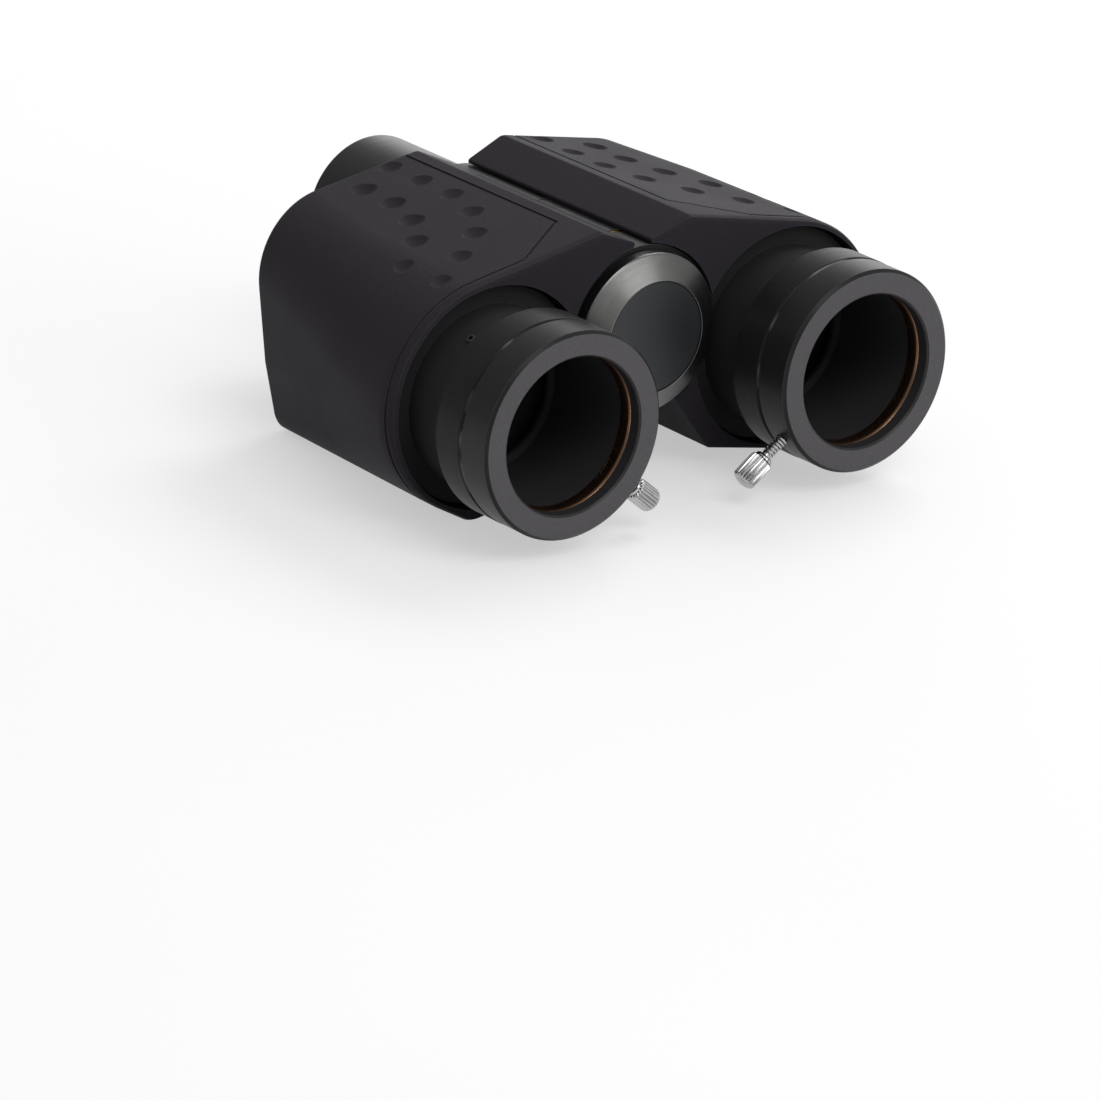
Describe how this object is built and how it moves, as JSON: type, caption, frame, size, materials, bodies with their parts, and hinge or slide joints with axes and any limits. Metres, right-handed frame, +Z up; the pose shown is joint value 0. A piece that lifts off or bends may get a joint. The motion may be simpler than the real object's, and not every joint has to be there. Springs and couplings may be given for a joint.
{
  "type": "telescope binoviewer",
  "caption": "Binocular viewer for a telescope: two folding prism housings on one nosepiece, each with a focusing eyepiece holder and a lock screw.",
  "frame": {"origin": "centre of the nosepiece's shoulder, on the hinge axis", "axes": "+Y along the nosepiece towards the telescope, -Y towards the eyes, +X to the right of an observer at the eyepieces, +Z up"},
  "size_m": [0.1218, 0.1197, 0.0549],
  "materials": {
    "housing_armour": "matte",
    "black_cover": "matte",
    "steel_screws": "satin",
    "prism_glass": "polished",
    "cast_alloy": "matte",
    "hinge_alloy": "satin",
    "washer_brass": "satin",
    "cap_metal": "satin",
    "cap_enamel": "satin",
    "black_anodised": "satin",
    "matt_black": "matte",
    "ring_brass": "satin",
    "thumb_chrome": "polished"
  },
  "bodies": {
    "left_half": {"left_housing": "housing_armour", "left_rear_cover": "black_cover", "left_cover_screws": "steel_screws", "left_rhomboid_prism": "prism_glass", "splitter_prism": "prism_glass", "compensator_block": "prism_glass", "left_prism_cradle": "cast_alloy", "left_prism_strap": "steel_screws", "compensator_strap": "steel_screws", "hinge_tube": "hinge_alloy", "left_rear_knuckle": "hinge_alloy", "left_front_knuckle": "hinge_alloy", "rear_thrust_washer": "washer_brass", "front_thrust_washer": "washer_brass", "tension_spring": "steel_screws", "hinge_plug": "hinge_alloy", "cap_ring": "cap_metal", "cap_disc": "cap_enamel", "nosepiece": "black_anodised", "nosepiece_baffle": "matt_black", "left_barrel_base": "black_anodised", "left_base_screws": "steel_screws", "left_guide_screw": "steel_screws", "left_exit_baffle": "matt_black", "left_snap_ring": "steel_screws"},
    "right_half": {"right_housing": "housing_armour", "right_rear_cover": "black_cover", "right_cover_screws": "steel_screws", "right_rhomboid_prism": "prism_glass", "right_prism_cradle": "cast_alloy", "right_prism_strap": "steel_screws", "right_knuckle": "hinge_alloy", "right_barrel_base": "black_anodised", "right_base_screws": "steel_screws", "right_guide_screw": "steel_screws", "right_exit_baffle": "matt_black", "right_snap_ring": "steel_screws"},
    "left_diopter": {"left_diopter_ring": "black_anodised"},
    "right_diopter": {"right_diopter_ring": "black_anodised"},
    "left_holder": {"left_eyepiece_holder": "black_anodised", "left_brass_ring": "ring_brass"},
    "right_holder": {"right_eyepiece_holder": "black_anodised", "right_brass_ring": "ring_brass"},
    "left_lock": {"left_thumbscrew": "thumb_chrome"},
    "right_lock": {"right_thumbscrew": "thumb_chrome"}
  },
  "joints": [
    {"name": "fold", "type": "hinge", "parent": "left_half", "child": "right_half", "pos_m": [0, 0, 0], "axis": [0, 1, 0], "range_deg": [-12, 34]},
    {"name": "left_diopter_turn", "type": "hinge", "parent": "left_half", "child": "left_diopter", "pos_m": [-0.0367, -0.0783, -0.0072], "axis": [0, -1, 0], "range_deg": [0, 120.5]},
    {"name": "left_focus", "type": "slide", "parent": "left_half", "child": "left_holder", "axis": [0, -1, 0], "range_m": [0, 0.004]},
    {"name": "left_screw", "type": "slide", "parent": "left_holder", "child": "left_lock", "axis": [0.7727, 0, -0.6347], "range_m": [0, 0.0025]},
    {"name": "right_diopter_turn", "type": "hinge", "parent": "right_half", "child": "right_diopter", "pos_m": [0.0367, -0.0783, -0.0072], "axis": [0, -1, 0], "range_deg": [0, 120.5]},
    {"name": "right_focus", "type": "slide", "parent": "right_half", "child": "right_holder", "axis": [0, -1, 0], "range_m": [0, 0.004]},
    {"name": "right_screw", "type": "slide", "parent": "right_holder", "child": "right_lock", "axis": [-0.81, 0, -0.5864], "range_m": [-0.003, 0]}
  ],
  "couplings": [
    {"joint": "left_diopter_turn", "follows": "left_focus", "rad_per_m": 523.6},
    {"joint": "right_diopter_turn", "follows": "right_focus", "rad_per_m": 523.6}
  ]
}
